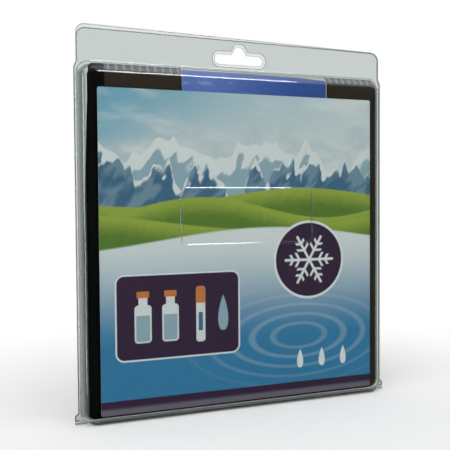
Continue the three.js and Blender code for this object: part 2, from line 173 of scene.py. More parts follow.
class ClothSizes(bpy.types.PropertyGroup):
    """Sizes of the cloth pieces and their sewing."""

    border: size("Border", "Width over which the case thins towards its seam", 7.0 * MM)
    seam: size("Seam", "Thickness of the case at its seam", 0.9 * MM)
    ease: size("Left ease", "How far the soft case spreads into the pack's left side", 2.2 * MM)
    draw: size("Upper draw", "How far the case's upper left edge is drawn in", 3.6 * MM)
    rise: size("Top rise", "How far the case's soft top stands above its panels", 3.2 * MM)
    sag: size("Foot sag", "How far the soft case hangs below its panels", 2.0 * MM)
    mouth: size("Mouth", "How much lower the back lip is than the soft top", 4.6 * MM)
    wall: size("Wall", "Thickness of the case's cloth", 0.35 * MM)
    # Painted shade: reach from the middle at which the case's left edge starts to darken
    left_shade: size("Bound edge", "Reach from the middle at which the left edge's binding starts", 76.1 * MM)
    lean: size("Top lean", "How far the case's soft top leans back", 2.6 * MM)
    corner: size("Corner", "Radius of the case's lower corners", 5.0 * MM)
    top_corner: size("Top corner", "Radius of the case's upper corners", 3.0 * MM)
    flap_corner: size("Flap corner", "Radius of the flap's lower corners", 9.0 * MM)
    weave: size("Weave", "Pitch of the weave", 1.1 * MM)
    stitch: size("Stitch", "Length of a stitch", 2.2 * MM)
    stitch_gap: size("Stitch gap", "Room between stitches", 1.0 * MM)
    thread: size("Thread", "Radius of the sewing thread", 0.16 * MM)
    row: size("Stitch row", "How far a row of stitches lies from the edge", 2.6 * MM)
    row_end: size("Stitch row end", "How far a cross row stops short of the side rows", 6.0 * MM)
    fold: size("Fold", "Thickness of the strip over the mouth", 0.22 * MM)
    ply: size("Ply", "Thickness of a ply of the pouch", 0.2 * MM)
    quilt: size("Quilting", "How far a ply is drawn in along a sewn line", 0.26 * MM)
    quilt_reach: size("Quilting reach", "How wide the dip along a sewn line is", 1.6 * MM)
    ply_ease: size("Ply ease", "Unevenness of a ply", 0.03 * MM)
    grain_least: size("Least grain", "Half width of the smallest crystal", 0.35 * MM)
    grain_most: size("Largest grain", "Half width of the largest crystal", 0.75 * MM)
    grain_flat: size("Grain thickness", "Half thickness of a crystal", 0.18 * MM)
    grain_border: size("Grain border", "Room between the crystals and the ends of their row", 1.0 * MM)
    grains: IntProperty(name="Grains", description="Crystals in a row of gel", default=180, min=1)
    paper: size("Paper", "Thickness of the leaflet's paper", 0.09 * MM)


class Colours(bpy.types.PropertyGroup):
    """Colours of the prints, the cloth and the clear sheet, with tints of painted shade for the sheet's
    walls and edges and for the case's left edge.
    """

    clear: tint("Clear sheet", "What a face of the clear sheet lets through", (0.905, 0.923, 0.918))
    # Painted shade: the walls' darker tints stand in for what refraction does to light in drawn walls
    wall_shade: tint("Clear walls", "What a drawn wall of the front lets through", (0.52, 0.545, 0.535))
    lid_wall_shade: tint("Clear lid's walls", "What a drawn wall of the lid lets through", (0.68, 0.70, 0.69))
    # Painted shade: darker tints for cut edges, slot lines, the fillet's bend, the foot, the ridge and the
    # hinge, in place of refraction
    cut: tint("Cut edge", "What a cut edge of the front lets through", (0.45, 0.455, 0.43))
    lid_cut: tint("Lid's cut edge", "What a cut edge of the lid lets through", (0.62, 0.65, 0.64))
    sky_deep: tint("Deep sky", "Corner of the sky on the card", (0.20, 0.46, 0.60))
    sky_high: tint("High sky", "Top of the sky on the card", (0.46, 0.62, 0.69))
    sky_low: tint("Low sky", "Foot of the sky on the card", (0.70, 0.735, 0.74))
    hill: tint("Far mountains", "Far mountains and shade on the card", (0.34, 0.48, 0.56))
    peak: tint("Mountains", "Rock of the near mountains on the card", (0.06, 0.17, 0.29))
    meadow: tint("Meadow", "Lit meadow on the card", (0.36, 0.47, 0.06))
    meadow_shade: tint("Meadow shade", "Shaded meadow on the card", (0.13, 0.25, 0.03))
    mist: tint("Mist", "Pale middle of the card", (0.80, 0.84, 0.83))
    deep: tint("Deep blue", "Lower part of the card", (0.035, 0.24, 0.46))
    mauve: tint("Mauve", "Lowest band of the card", (0.18, 0.155, 0.21))
    plum: tint("Plum", "Badge, panel and foot strip of the card", (0.050, 0.022, 0.060))
    white: tint("White ink", "Plain signs on the card", (0.86, 0.88, 0.88))
    orange: tint("Orange ink", "Small accents on the card", (0.72, 0.22, 0.05))
    leaflet: tint("Leaflet blue", "Blue of the leaflet", (0.042, 0.125, 0.50))
    leaflet_light: tint("Leaflet light", "Light marks on the leaflet", (0.50, 0.62, 0.80))
    paper: tint("Paper", "Bare paper and board", (0.82, 0.82, 0.79))
    # Ground and raised threads: the darker ground paints shade in the weave's hollows
    cloth: tint("Cloth", "Ground of the black cloth", (0.024, 0.0185, 0.0125))
    cloth_high: tint("Cloth, raised", "Raised threads of the black cloth", (0.076, 0.060, 0.043))
    # Painted shade on the case's left edge
    left_shade: tint("Bound edge", "Cloth of the case's bound edge", (0.0035, 0.0035, 0.0037))
    mesh: tint("Mesh", "Light threads along the case's mouth", (0.36, 0.38, 0.39))
    lining: tint("Lining", "Cloth of the cooling pouch", (0.055, 0.10, 0.24))
    thread: tint("Thread", "Sewing thread", (0.13, 0.125, 0.12))
    label: tint("Label", "Plain woven label", (0.13, 0.13, 0.14))
    gel: tint("Gel", "Dry gel crystals", (0.70, 0.74, 0.74))


class StageSettings(bpy.types.PropertyGroup):
    """Camera, lamps and floor."""

    lens: FloatProperty(name="Lens", description="Focal length of the camera", default=56.0, unit="CAMERA")
    eye: FloatVectorProperty(
        name="Camera place", description="Where the camera stands",
        default=(-0.14921, -0.35936, 0.11569), size=3, subtype="TRANSLATION",
    )
    aim: FloatVectorProperty(
        name="Camera turn", description="Pitch, roll and heading of the camera",
        default=(math.radians(88.0), math.radians(-0.413), math.radians(-21.12)), size=3, subtype="EULER",
    )
    key: power("Key lamp", "Power of the key lamp", 11.0)
    fill: power("Fill lamp", "Power of the fill lamp", 7.2)
    brow: power("Brow lamp", "Power of the lamp for top edges", 3.5)
    rim: power("Rim lamp", "Power of the lamp for side edges", 6.0)
    ambient: FloatProperty(name="Ambient", description="Light from all round", default=0.55)
    mirror: FloatProperty(name="Mirrored room", description="Light that gloss shows", default=0.8)
    floor: tint("Floor", "Colour of the floor", (0.90, 0.90, 0.90))


class Wire:
    """A shader value. Python operators on it add Math nodes."""

    def __init__(self, finish, socket):
        self.finish = finish
        self.socket = socket

    def __add__(self, other):
        return self.finish.math("ADD", self, other)

    __radd__ = __add__

    def __sub__(self, other):
        return self.finish.math("SUBTRACT", self, other)

    def __rsub__(self, other):
        return self.finish.math("SUBTRACT", other, self)

    def __mul__(self, other):
        return self.finish.math("MULTIPLY", self, other)

    __rmul__ = __mul__

    def __truediv__(self, other):
        return self.finish.math("DIVIDE", self, other)

    def __pow__(self, other):
        return self.finish.math("POWER", self, other)

    def __abs__(self):
        return self.finish.math("ABSOLUTE", self)


class Finish:
    """The node tree of a material or of the world, written from Python."""

    def __init__(self, owner):
        owner.use_nodes = True
        self.owner = owner
        self.tree = owner.node_tree
        self.tree.nodes.clear()

    def node(self, kind, settings=None, sockets=None):
        """Adds a node: its settings first, then the values or links of its sockets."""
        made = self.tree.nodes.new(kind)
        for name, value in (settings or {}).items():
            setattr(made, name, value)
        for name, value in (sockets or {}).items():
            target = made.inputs[name]
            if isinstance(value, Wire):
                value = value.socket
            if isinstance(value, bpy.types.NodeSocket):
                self.tree.links.new(value, target)
            elif hasattr(value, "__len__") and target.type == "RGBA" and len(value) == 3:
                target.default_value = (*value, 1.0)
            else:
                target.default_value = value
        return made

    def math(self, operation, *terms, clamp=False):
        made = self.node(
            "ShaderNodeMath", {"operation": operation, "use_clamp": clamp}, dict(enumerate(terms))
        )
        return Wire(self, made.outputs[0])

    def least(self, first, second):
        return self.math("MINIMUM", first, second)

    def most(self, first, second):
        return self.math("MAXIMUM", first, second)

    def sine(self, value):
        return self.math("SINE", value)

    def rise(self, value, low, high):
        """Smooth step from 0 at low to 1 at high."""
        made = self.node(
            "ShaderNodeMapRange", {"interpolation_type": "SMOOTHSTEP"},
            {"Value": value, "From Min": low, "From Max": high},
        )
        return Wire(self, made.outputs[0])

    def inside(self, distance, soft=0.35):
        """1 where a signed distance is below 0, with a soft edge."""
        return self.math("SUBTRACT", 0.5, distance / soft, clamp=True)

    def layer(self, mask, under, over):
        """Colour over another, where the mask says."""
        made = self.node("ShaderNodeMix", {"data_type": "RGBA"}, {0: mask, 6: under, 7: over})
        return made.outputs[2]

    def stamp(self, under, distance, over, soft=0.35):
        """Colour over another, inside the edge of a sign."""
        return self.layer(self.inside(distance, soft), under, over)

    def axes(self, source):
        """The three parts of a texture coordinate."""
        coordinates = self.node("ShaderNodeTexCoord")
        split = self.node("ShaderNodeSeparateXYZ", None, {0: coordinates.outputs[source]})
        return [Wire(self, part) for part in split.outputs]

    def place(self):
        """Object coordinates in millimetres."""
        return [part * 1000.0 for part in self.axes("Object")]

    def facing(self, axis):
        """One part of the surface's own direction, in the object's frame."""
        return self.axes("Normal")[axis]

    def ray(self, kind):
        """1 where light is traced by a ray of a kind."""
        return Wire(self, self.node("ShaderNodeLightPath").outputs[kind])

    def seen(self):
        """1 where the camera looks, straight or through the clear sheet."""
        return self.most(self.ray("Is Camera Ray"), self.ray("Is Transmission Ray"))

    def mottle(self, x, y, z, detail=2.0):
        """Noise from 0 to 1, with one lump for each unit."""
        at = self.node("ShaderNodeCombineXYZ", None, {0: x, 1: y, 2: z}).outputs[0]
        made = self.node("ShaderNodeTexNoise", None, {"Vector": at, "Scale": 1.0, "Detail": detail})
        return Wire(self, made.outputs[0])

    def relief(self, height, distance):
        """Bump whose height is in the surface's own units."""
        made = self.node("ShaderNodeBump", None, {"Height": height, "Distance": distance, "Strength": 1.0})
        return made.outputs[0]

    def principled(self, sockets):
        return self.node("ShaderNodeBsdfPrincipled", None, sockets).outputs[0]

    def see_through(self, colour):
        return self.node("ShaderNodeBsdfTransparent", None, {"Color": colour}).outputs[0]

    def blend(self, share, first, second):
        """One shader going over into another."""
        return self.node("ShaderNodeMixShader", None, {0: share, 1: first, 2: second}).outputs[0]

    def surface(self, shader):
        of_world = isinstance(self.owner, bpy.types.World)
        kind = "ShaderNodeOutputWorld" if of_world else "ShaderNodeOutputMaterial"
        self.node(kind, None, {"Surface": shader})
        return self.owner


def new_finish(name):
    return Finish(bpy.data.materials.new(name))


def clear_finish(name, through, shade_tint):
    """Clear sheet: see-through, with painted shade in its side walls in place of refraction, and
    mirror-like where it is seen at a slant.
    """
    sheet = new_finish(name)
    x, y, z = sheet.place()
    ripple = sheet.mottle(x / 26.0, y / 26.0, z / 38.0, 1.0)
    aslant = Wire(sheet, sheet.node("ShaderNodeLayerWeight", None, {"Blend": 0.5}).outputs["Facing"])
    # Painted shade: where the sheet turns away from the front, as in its side walls, it takes the darker
    # tint
    turned = sheet.rise(abs(sheet.facing(1)), 0.995, 0.80)
    upright = sheet.rise(abs(sheet.facing(2)), 0.45, 0.15)
    body = sheet.blend(turned * upright, sheet.see_through(through), sheet.see_through(shade_tint))
    gloss = sheet.node("ShaderNodeBsdfAnisotropic", None, {
        "Color": (0.95, 0.97, 0.96), "Roughness": 0.06, "Normal": sheet.relief(ripple, 0.5 * MM),
    }).outputs[0]
    look = sheet.blend(0.04 + 0.96 * aslant ** 5.0, body, gloss)
    passed = sheet.see_through((0.95, 0.96, 0.96))
    return sheet.surface(sheet.blend(sheet.ray("Is Shadow Ray"), look, passed))


def box_edge(art, u, v, middle, half, corner):
    """Signed distance to a rounded rectangle."""
    across = abs(u - middle[0]) - (half[0] - corner)
    along = abs(v - middle[1]) - (half[1] - corner)
    out = art.math("SQRT", art.most(across, 0.0) ** 2.0 + art.most(along, 0.0) ** 2.0)
    return out + art.least(art.most(across, along), 0.0) - corner


def disc_edge(art, u, v, middle, radius):
    """Signed distance to a disc."""
    return art.math("SQRT", (u - middle[0]) ** 2.0 + (v - middle[1]) ** 2.0) - radius


def crystal_edge(art, u, v, middle, reach, arm):
    """Signed distance to a six-armed ice crystal."""
    across = u - middle[0]
    along = v - middle[1]
    turn = art.math("ARCTAN2", along, across)
    sector = art.math("PINGPONG", turn + math.pi, math.pi / 6)
    out = art.math("SQRT", across ** 2.0 + along ** 2.0)
    p = out * art.math("COSINE", sector)
    q = out * art.sine(sector)
    found = art.most(q - arm, p - reach)
    for start, length in ((0.40, 0.26), (0.66, 0.19)):
        slope = abs((p - start * reach) * math.sin(math.pi / 3) - q * math.cos(math.pi / 3))
        found = art.least(found, art.most(slope - arm * 0.9, q - length * reach))
    return found


def drop_edge(art, u, v, foot, width, height):
    """Signed distance, roughly, to a drop of water."""
    along = art.math("DIVIDE", v - foot[1], height, clamp=True)
    half = art.math("SQRT", along) * (1.0 - along) * (1.3 * width)
    return art.most(abs(u - foot[0]) - half + 0.05, abs(v - foot[1] - height / 2) - height * 0.48)


def card_sky(art, colours, u, v):
    """Sky with high cloud and banks of cloud."""
    ink = art.layer(art.rise(v, 124.0, 166.0), colours.sky_low, colours.sky_high)
    ink = art.layer(art.rise(u * -0.7 + v, 150.0, 222.0), ink, colours.sky_deep)
    ink = art.layer(art.rise(u, -40.0, 70.0) * 0.45, ink, colours.mist)
    cloud = art.mottle(u / 46.0, 0.0, v / 13.0, 4.0)
    ink = art.layer(art.rise(cloud, 0.50, 0.74) * 0.75, ink, colours.mist)
    bank = art.mottle(u / 21.0, 7.0, v / 10.0, 6.0) - art.rise(v, 128.0, 156.0) * 0.22
    ink = art.layer(art.rise(bank, 0.36, 0.62) * 0.8, ink, colours.mist)
    return art.layer(art.rise(bank, 0.66, 0.46) * art.rise(bank, 0.36, 0.50) * 0.35, ink, colours.hill)


def card_land(art, colours, u, v, ink):
    """Two ranges of mountains with snow, and three green hills in front of them."""
    height = 36.0
    ranges = ((40.0, 94.0, 3.1, 10.0, colours.hill), (25.0, 85.0, 8.4, 4.0, colours.peak))
    for reach, foot, seed, snow, rock in ranges:
        swell = art.mottle(u / reach, seed, 0.0, 3.0)
        tall = art.mottle(u / 52.0, seed + 2.0, 0.0, 0.0)
        skyline = (1.0 - abs(swell * 2.0 - 1.0) * 1.6) * height + tall * 22.0 + foot
        crag = art.mottle((u - v * 0.6) / 7.0, seed, v / 11.0, 4.0)
        slope = art.layer(art.rise(crag, 0.58, 0.36) * 0.5, rock, colours.hill)
        white = art.rise(v - skyline + (crag - 0.5) * 26.0, -snow, 3.0 - snow)
        ink = art.stamp(ink, v - skyline, art.layer(white, slope, colours.mist), 0.5)
    hills = ((109.0, 5.0, 31.0, 0.4), (103.0, 6.0, 24.0, 2.6), (96.0, 5.0, 37.0, 4.4))
    for base, swing, wave, shift in hills:
        crest = art.sine(u / wave + shift) * swing + base
        grass = art.mottle(u / 3.0, shift, v / 2.2, 4.0)
        lit = art.rise(v - crest + grass * 5.0, -9.0, 2.0)
        ink = art.stamp(ink, v - crest, art.layer(lit, colours.meadow_shade, colours.meadow), 0.5)
    return ink


def card_water(art, colours, u, v, ink):
    """Water that deepens towards the foot of the card, with faint rings."""
    shore = v - (art.sine(u / 41.0 + 1.2) * 6.0 + 86.0)
    ink = art.stamp(ink, shore, art.layer(art.rise(v, 28.0, 92.0), colours.deep, colours.mist), 1.2)
    spread = disc_edge(art, u * 0.42, v, (14.0, 30.0), 0.0)
    ring = art.sine(spread * 1.15) * art.rise(spread, 44.0, 6.0) * art.rise(spread, 2.0, 9.0)
    return art.layer(art.inside(shore, 1.2) * art.rise(ring, 0.1, 0.9) * 0.20, ink, colours.mist)


def card_signs(art, colours, u, v, ink):
    """Badge with an ice crystal, panel with vials, a pen and a drop, three drops, and a foot strip."""
    middle = (40.0, 73.0)
    badge = disc_edge(art, u, v, middle, 21.0)
    ink = art.stamp(ink, badge - 1.4, colours.white)
    ink = art.stamp(ink, badge, colours.plum)
    ink = art.stamp(ink, crystal_edge(art, u, v, middle, 15.5, 0.75), colours.white)
    panel = box_edge(art, u, v, (-38.0, 46.0), (34.0, 22.0), 4.0)
    ink = art.stamp(ink, panel - 0.9, colours.white)
    ink = art.stamp(ink, panel, colours.plum)
    for across in (-58.0, -43.0):
        vial = box_edge(art, u, v, (across, 42.5), (4.6, 10.0), 2.0)
        neck = box_edge(art, u, v, (across, 54.5), (2.4, 3.0), 0.4)
        ink = art.stamp(ink, art.least(vial, neck), colours.mist)
        ink = art.stamp(ink, art.most(vial + 0.9, v - 47.0), colours.hill)
        ink = art.stamp(ink, box_edge(art, u, v, (across, 58.0), (3.4, 1.7), 0.5), colours.orange)
    pen = box_edge(art, u, v, (-26.0, 46.0), (2.6, 15.0), 1.6)
    ink = art.stamp(ink, pen, colours.mist)
    ink = art.stamp(ink, art.most(pen, 52.0 - v), colours.orange)
    ink = art.stamp(ink, box_edge(art, u, v, (-26.0, 42.0), (1.2, 5.0), 0.5), colours.peak)
    ink = art.stamp(ink, drop_edge(art, u, v, (-13.0, 36.0), 6.0, 20.0), colours.hill)
    for across in (34.0, 48.0, 62.0):
        ink = art.stamp(ink, drop_edge(art, u, v, (across, 11.0), 4.0, 11.0), colours.white)
    ink = art.stamp(ink, v - 3.2, colours.plum)
    return art.stamp(ink, v + 0.9, colours.mauve, 1.6)


def card_print(colours):
    """Generic print on the front of the card, and bare board behind and along its edges."""
    art = new_finish("card_print")
    x, y, z = art.place()
    u = x - (CARD_LOW.x + CARD_HIGH.x) / 2 / MM
    v = z - CARD_LOW.z / MM - 4.0
    ink = card_sky(art, colours, u, v)
    ink = card_land(art, colours, u, v, ink)
    ink = card_water(art, colours, u, v, ink)
    ink = card_signs(art, colours, u, v, ink)
    front = art.math("LESS_THAN", art.facing(1), -0.5)
    fibre = art.mottle(x * 3.0, y * 3.0, z * 3.0, 3.0)
    ink = art.layer(front, art.layer(fibre * 0.25, colours.paper, colours.hill), ink)
    return art.surface(art.principled({
        "Base Color": ink,
        "Roughness": 0.34 + 0.12 * fibre + 0.3 * (1.0 - front),
        "Normal": art.relief(fibre, 0.01 * MM),
    }))


def leaflet_print(colours):
    """Generic print of the leaflet: blue, with pale drifts at one side, and bare paper behind."""
    art = new_finish("leaflet_print")
    x, y, z = art.place()
    u = x - LEAFLET_LOW.x / MM
    v = z - LEAFLET_LOW.z / MM
    drift = art.mottle(u / 17.0, 4.0, v / 4.2, 4.0)
    ink = art.layer(art.rise(u, 87.0, 0.0) * 0.05, colours.leaflet, colours.leaflet_light)
    ink = art.layer(art.rise(drift, 0.50, 0.80) * art.rise(u, 50.0, 6.0), ink, colours.leaflet_light)
    ink = art.layer(art.rise(drift, 0.58, 0.84) * art.rise(u, 26.0, 2.0), ink, colours.white)
    ink = art.stamp(ink, (LEAFLET_HIGH.x - LEAFLET_LOW.x) / MM - 0.4 - u, colours.paper)
    front = art.math("LESS_THAN", art.facing(1), -0.6)
    fibre = art.mottle(x * 4.0, y * 4.0, z * 4.0, 3.0)
    ink = art.layer(front, colours.paper, ink)
    return art.surface(art.principled({
        "Base Color": ink, "Roughness": 0.42 + 0.15 * fibre, "Normal": art.relief(fibre, 0.01 * MM),
    }))


def dimmed(colour, share):
    return [part * share for part in colour]


def weave_on(cloth, pitch):
    """Plain weave with uneven yarn: the place, its unevenness and the weave's height."""
    x, y, z = cloth.place()
    turn = 2.0 * math.pi / (pitch / MM)
    uneven = cloth.mottle(x / 9.0, y / 9.0, z / 9.0, 4.0)
    warp = cloth.sine((x + y) * turn + uneven * 1.5)
    weft = cloth.sine((z + y) * turn + uneven * 1.5)
    return (x, y, z), uneven, warp * weft * 0.5 + 0.5


def cloth_surface(cloth, ink, uneven, weave, depth):
    """Matt cloth with the weave's relief."""
    return cloth.surface(cloth.principled({
        "Base Color": ink,
        "Roughness": 0.78 + 0.18 * uneven,
        "Sheen Weight": 0.02,
        "Specular IOR Level": 0.06,
        "Normal": cloth.relief(weave, depth),
    }))


def woven_finish(name, ground, raised, pitch, depth=0.10 * MM):
    """Plain woven cloth, with painted shade in the hollows of its weave."""
    cloth = new_finish(name)
    _, uneven, weave = weave_on(cloth, pitch)
    # Painted shade: the weave's hollows take the darker ground, uneven with the yarn
    ink = cloth.layer(weave * (0.35 + 0.65 * uneven), ground, raised)
    return cloth_surface(cloth, ink, uneven, weave, depth)


def case_finish(colours, sizes):
    """Black woven cloth with painted shade along its left edge, and a light mesh along the mouth."""
    cloth = new_finish("case_cloth")
    (x, _, z), uneven, weave = weave_on(cloth, sizes.weave)
    # Painted shade: the weave's hollows take the darker ground, uneven with the yarn
    ink = cloth.layer(weave * (0.35 + 0.65 * uneven), colours.cloth, colours.cloth_high)
    rib = cloth.rise(cloth.sine(x * (2.0 * math.pi / (3.8 * sizes.weave / MM))), 0.3, 0.95)
    net = cloth.layer(0.06 + 0.14 * weave + 0.8 * rib, colours.label, colours.mesh)
    ink = cloth.layer(cloth.rise(z, FOLD_HIGH.z / MM - 1.2, FOLD_HIGH.z / MM), ink, net)
    # Painted shade: beyond a reach to the left the cloth darkens
    ink = cloth.layer(cloth.rise(-1.0 * x, sizes.left_shade / MM, sizes.left_shade / MM + 0.8), ink, colours.left_shade)
    return cloth_surface(cloth, ink, uneven, weave, 0.12 * MM)


def pile_finish(name, ground, raised, pitch):
    """Face of a closing tape: short loops or hooks in rows."""
    tape = new_finish(name)
    x, y, z = tape.place()
    speck = tape.mottle(x / (pitch / MM), y / (pitch / MM), z / (pitch / MM), 3.0)
    rows = tape.sine(z * (2.0 * math.pi / (1.6 * pitch / MM))) * 0.5 + 0.5
    ink = tape.layer(tape.rise(speck * 0.7 + rows * 0.3, 0.35, 0.7), ground, raised)
    return tape.surface(tape.principled({
        "Base Color": ink,
        "Roughness": 0.7 + 0.2 * speck,
        "Normal": tape.relief(speck + rows * 0.5, 0.2 * MM),
    }))


def thread_finish(name, colour):
    """Twisted sewing thread, with painted shade along the grooves of its twist."""
    thread = new_finish(name)
    x, y, z = thread.place()
    twist = thread.sine((x + y + z) * 18.0) * 0.5 + 0.5
    # Painted shade: a dimmed copy of the thread's colour along its twist
    ink = thread.layer(twist * 0.5, colour, dimmed(colour, 0.45))
    return thread.surface(thread.principled({"Base Color": ink, "Roughness": 0.55 + 0.2 * twist}))


def gel_finish(colours):
    """Dry gel crystals: pale, glassy and uneven."""
    gel = new_finish("gel_crystal")
    x, y, z = gel.place()
    cloud = gel.mottle(x / 1.5, y / 1.5, z / 1.5, 3.0)
    ink = gel.layer(gel.rise(cloud, 0.35, 0.7), dimmed(colours.gel, 0.6), colours.gel)
    return gel.surface(gel.principled({
        "Base Color": ink, "Roughness": 0.18 + 0.25 * cloud, "Normal": gel.relief(cloud, 0.05 * MM),
    }))


def add_piece(name, bm, finishes, body, replaced=(), sharp=35.0):
    """Turns a bmesh into a piece that rides on a body. Without a body it is left free."""
    mesh = bpy.data.meshes.new(name)
    bm.to_mesh(mesh)
    bm.free()
    for finish in finishes:
        mesh.materials.append(finish)
    mesh.shade_smooth()
    mesh.set_sharp_from_angle(angle=math.radians(sharp))
    piece = bpy.data.objects.new(name, mesh)
    bpy.context.scene.collection.objects.link(piece)
    if replaced:
        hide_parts(*replaced)
    if body:
        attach(piece, body)
    return piece


def thicken(piece, thickness, offset):
    """Gives a thin skin its thickness."""
    wall = piece.modifiers.new("thickness", "SOLIDIFY")
    wall.thickness = thickness
    wall.offset = offset
    return wall


def dress_node(name, finish):
    """Gives a CAD node that stays its finish."""
    node = frame["nodes"][name]
    node.data.materials.clear()
    node.data.materials.append(finish)


def pick(kind, geom):
    """Items of one kind among those that an operator gives back."""
    return [item for item in geom if isinstance(item, kind)]


def clamp(value, low, high):
    return max(low, min(value, high))


def flat_size(low, high):
    """Width and height of a box."""
    return high.x - low.x, high.z - low.z


def face_forward(face):
    """Makes a flat face look out of the pack's front."""
    face.normal_update()
    if face.normal.dot(FORWARD) < 0:
        face.normal_flip()
    return face


def outline(bm, points, level, steps):
    """A face in the plane y = level. Each point is x, z and the radius of its corner."""
    others = set(bm.faces)
    verts = [bm.verts.new((x, level, z)) for x, z, _ in points]
    bm.faces.new(verts)
    for radius in sorted({point[2] for point in points if point[2] > 0}):
        corners = [v for v, point in zip(verts, points) if point[2] == radius]
        bmesh.ops.bevel(
            bm, geom=corners, offset=radius, segments=steps, profile=0.5, affect="VERTICES", material=-1
        )
    return face_forward(next(face for face in bm.faces if face not in others))


def rounded(left, right, foot, top, radius):
    """Points of a rectangle with round corners."""
    return [(left, foot, radius), (right, foot, radius), (right, top, radius), (left, top, radius)]


def slot_points(shell, inset):
    """Hang slot with round ends and a hump that centres the peg."""
    half = shell.slot_width / 2 - inset
    foot = shell.slot_floor + inset
    top = shell.slot_floor + shell.slot_height - inset
    nearly_half = 0.49
    end = (top - foot) * nearly_half
    hump_inset = inset * 0.3
    base = shell.hump_base / 2 - hump_inset
    crown = shell.hump_top / 2 - hump_inset
    high = top + shell.hump_rise
    bend = crown * 0.8
    return [
        (-half, foot, end), (half, foot, end), (half, top, end), (base, top, 0.0),
        (crown, high, bend), (-crown, high, bend), (-base, top, 0.0), (-half, top, end),
    ]


def flange_points(shell, foot, left_top, right_top):
    """Edge of a sheet: ears at the hinge, flange beside the dome, header above it."""
    ear = FRONT_HIGH.x
    ear_top = foot + shell.ear
    waist = foot + shell.ear * 1.6
    neck = shell.dome_top - shell.corner * 0.6
    shoulder = neck + shell.neck
    corner = shell.header_corner
    return [
        (-ear, foot, 0.0), (ear, foot, 0.0), (ear, ear_top, 0.0), (shell.lip, waist, 0.0),
        (shell.lip, neck, 0.0), (shell.header_half, shoulder, 0.0), (shell.header_half, right_top, corner),
        (-shell.header_half, left_top, corner), (-shell.header_half, shoulder, 0.0),
        (-shell.lip, neck, 0.0), (-shell.lip, waist, 0.0), (-ear, ear_top, 0.0),
    ]


def grow_inward(bm, face, thickness, depth, finish):
    """Insets a face and gives the strips round it a finish."""
    strips = bmesh.ops.inset_region(
        bm, faces=[face], thickness=thickness, depth=depth, use_boundary=True, use_even_offset=True
    )["faces"]
    for strip in strips:
        strip.material_index = finish
    return strips


def cut_line(bm, face, width):
    """Draws a line of painted shade, in the cut edge's finish, inside a face's border, and returns the
    border's edges.
    """
    strips = grow_inward(bm, face, width, 0.0, SHADE_FINISH)
    return [edge for strip in strips for edge in strip.edges if len(edge.link_faces) == 1]


def drop_face(bm, face):
    """Takes a face away and leaves its edges."""
    edges = list(face.edges)
    bmesh.ops.delete(bm, geom=[face], context="FACES_ONLY")
    return [edge for edge in edges if edge.is_valid]


def fill_between(bm, edges):
    """Flat faces between loops of edges."""
    return bmesh.ops.triangle_fill(bm, edges=edges, use_beauty=True, use_dissolve=False, normal=FORWARD)


def raise_rib(bm, face, width, flank, finish=0):
    """Turns the border of a face into a rib. Its flank is a row of widths and rises."""
    top = width - 2 * sum(step for step, _ in flank)
    fall = [(step, -rise) for step, rise in reversed(flank)]
    for thickness, depth in (*flank, (top, 0.0), *fall):
        grow_inward(bm, face, thickness, depth, finish)


def cut_sheet(bm, shell, top, fall, level):
    """Edge of a sheet, with a line of painted shade along the cut. Returns the line's inner edges."""
    sheet = outline(bm, flange_points(shell, REAR_LOW.z, top, top - fall), level, shell.steps)
    cut_line(bm, sheet, shell.cut)
    return drop_face(bm, sheet)


def punch_slot(bm, shell, inset, level):
    """Hang slot, with a line of painted shade round it. Returns the line's outer edges."""
    hole = outline(bm, slot_points(shell, inset - shell.punch), level, shell.steps)
    edges = cut_line(bm, hole, shell.punch)
    drop_face(bm, hole)
    return edges


def turn_forward(bm, guide):
    """Makes the faces of a skin agree, with a guide face that looks out of the pack's front."""
    bmesh.ops.recalc_face_normals(bm, faces=bm.faces)
    if guide.normal.dot(FORWARD) < 0:
        bmesh.ops.reverse_faces(bm, faces=bm.faces)


def finish_shell(name, bm, finishes, body, node, shell, sharp):
    """Piece of clear sheet, with the darker finish of painted shade on its cut edges."""
    piece = add_piece(name, bm, finishes, body, [node], sharp)
    wall = thicken(piece, shell.sheet, -1.0)
    wall.use_quality_normals = True
    wall.material_offset_rim = SHADE_FINISH
    even = piece.modifiers.new("flat faces", "WEIGHTED_NORMAL")
    even.keep_sharp = True


def bend_inset(along, radius):
    """How far a round draws an edge in, at a distance along its bend."""
    along = clamp(along, 0.0, radius)
    return radius - math.sqrt(radius * radius - along * along)


def dome_ring(shell, reach, depth):
    """Place, half width, foot and top of the dome's outline at a reach in front of the parting plane."""
    lean = reach / depth
    inset = bend_inset(reach - depth + shell.edge_round, shell.edge_round)
    half = shell.dome_half - shell.side_draft * lean - inset
    top = shell.dome_top - shell.top_draft * lean - inset
    foot = bend_inset(reach - depth + shell.foot_round, shell.foot_round)
    return PARTING - reach, half, foot, top


def loft_forward(bm, face, ring, rings):
    """Draws a face forward through rings. Returns the edges that it leaves behind and the last face."""
    rim = None
    for level, half, foot, top in rings:
        start = face
        face = pick(BMFace, bmesh.ops.extrude_face_region(bm, geom=[face])["geom"])[0]
        left = drop_face(bm, start) if start.is_valid else []
        rim = rim or left
        for vert in face.verts:
            vert.co.x *= half / ring[1]
            vert.co.z = foot + (vert.co.z - ring[2]) * (top - foot) / (ring[3] - ring[2])
            vert.co.y = level
        ring = (level, half, foot, top)
    return rim, face


def base_fillet(bm, shell, rim, base):
    """Bends the dome's base out into the flange. Returns the last row of edges."""
    reach = base[1] - shell.corner
    for back, out, finish in FILLET_ROWS:
        grown = bmesh.ops.extrude_edge_only(bm, edges=rim)["geom"]
        rim = pick(BMEdge, grown)
        for vert in pick(BMVert, grown):
            core = Vector((
                clamp(vert.co.x, -reach, reach),
                vert.co.y,
                clamp(vert.co.z, shell.corner, base[3] - shell.corner),
            ))
            vert.co += (vert.co - core).normalized() * shell.fillet * out
            vert.co.y += shell.fillet * back
        for strip in pick(BMFace, grown):
            strip.material_index = finish
    return rim


